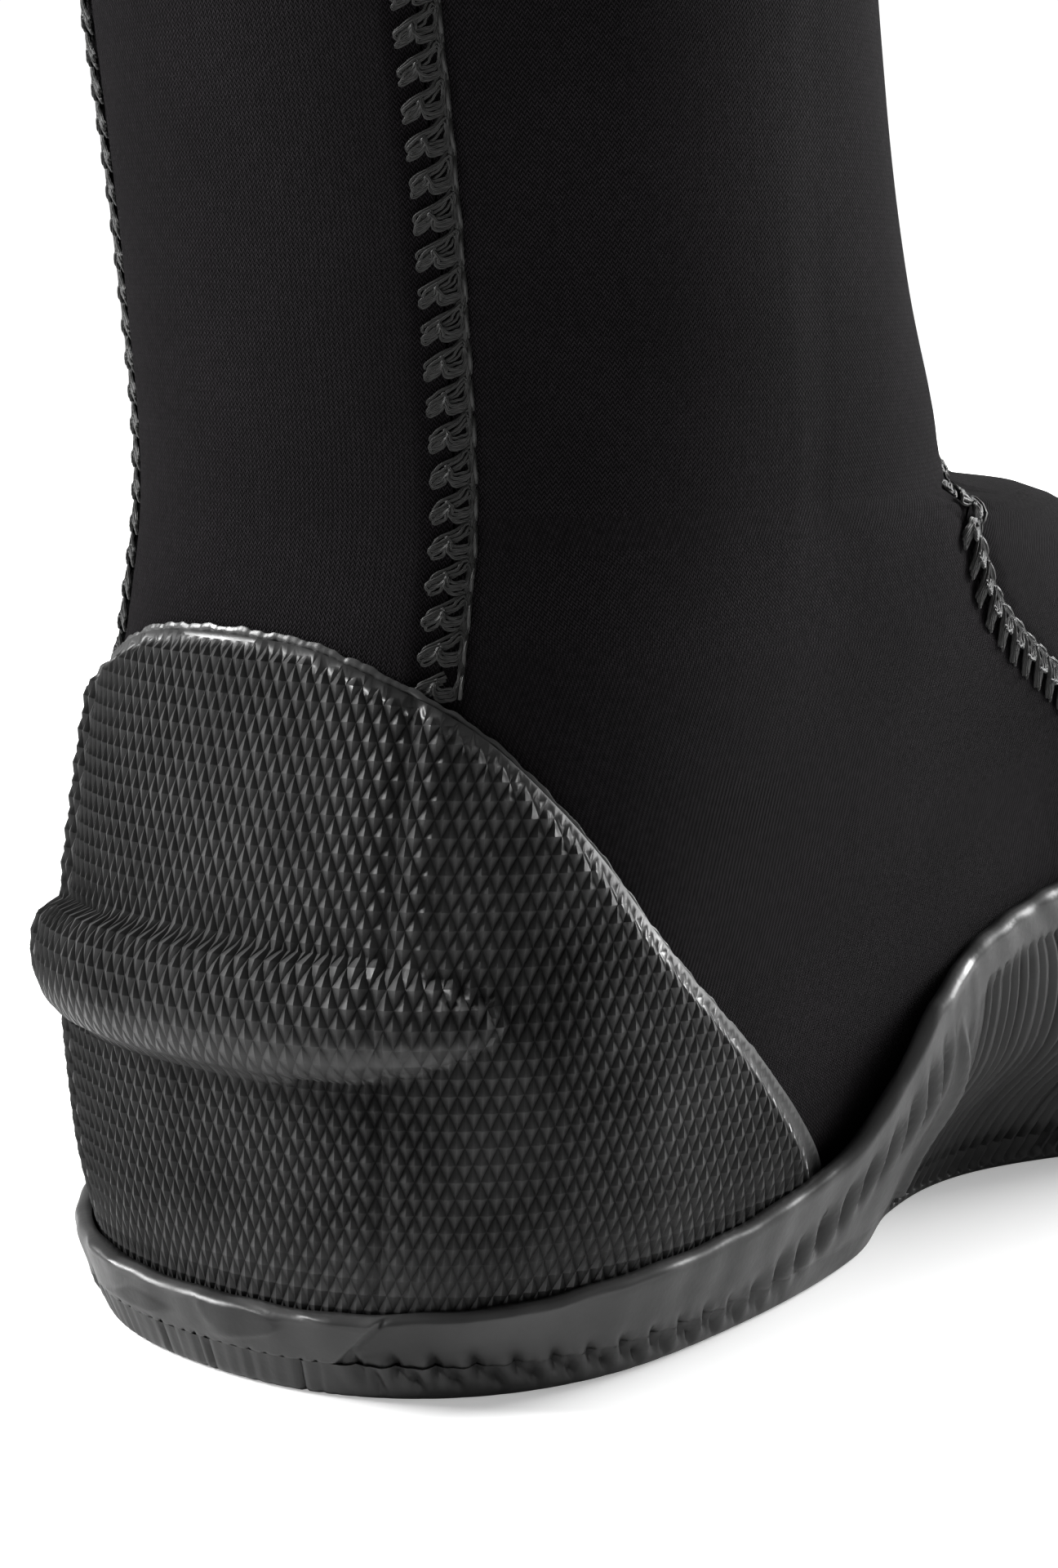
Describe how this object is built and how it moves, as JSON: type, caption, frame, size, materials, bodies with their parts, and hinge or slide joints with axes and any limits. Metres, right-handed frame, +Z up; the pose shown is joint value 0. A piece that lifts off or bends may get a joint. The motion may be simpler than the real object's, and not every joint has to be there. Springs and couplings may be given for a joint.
{
  "type": "neoprene boot",
  "caption": "Pull-on neoprene water-sports boot, left foot, with knurled rubber heel cup, fin-strap ridge, rubber foxing, ribbed sole and lift-out footbed.",
  "frame": {"origin": "on the ground under the middle of the boot's bounding box", "axes": "+Z up, +Y to the toe, +X to the inner (medial) side of the left foot"},
  "size_m": [0.1062, 0.2972, 0.25],
  "materials": {
    "neoprene": "fine ribbed black knit over neoprene foam",
    "knurled_rubber": "semi-matt moulded rubber with a diamond knurl",
    "foxing_rubber": "smooth semi-matt calendered rubber strip",
    "outsole_rubber": "matt moulded rubber with ribs",
    "foam": "closed-cell foam",
    "board": "pressed fibre sheet",
    "footbed": "brushed textile over foam",
    "binding": "folded elastic tape",
    "thread": "raised polyester stitching with a slight sheen",
    "seam_tape": "glued stretch tape"
  },
  "bodies": {
    "boot": {"outsole": "outsole_rubber", "midsole": "foam", "insole_board": "board", "back_panel": "neoprene", "inner_quarter": "neoprene", "outer_quarter": "neoprene", "vamp": "neoprene", "heel_cup": "knurled_rubber", "fin_strap_ridge": "knurled_rubber", "toe_cap": "knurled_rubber", "foxing_strip": "foxing_rubber", "collar_binding": "binding", "inner_back_seam_thread": "thread", "outer_back_seam_thread": "thread", "front_seam_thread": "thread", "vamp_seam_thread": "thread", "inner_back_seam_tape": "seam_tape", "outer_back_seam_tape": "seam_tape", "front_seam_tape": "seam_tape", "vamp_seam_tape": "seam_tape"},
    "footbed": {"footbed": "footbed"}
  },
  "joints": [
    {"name": "footbed_lift", "type": "hinge", "parent": "boot", "child": "footbed", "pos_m": [0, 0.1335, 0.0088], "axis": [-1, 0, 0], "range_deg": [0, 9]}
  ]
}
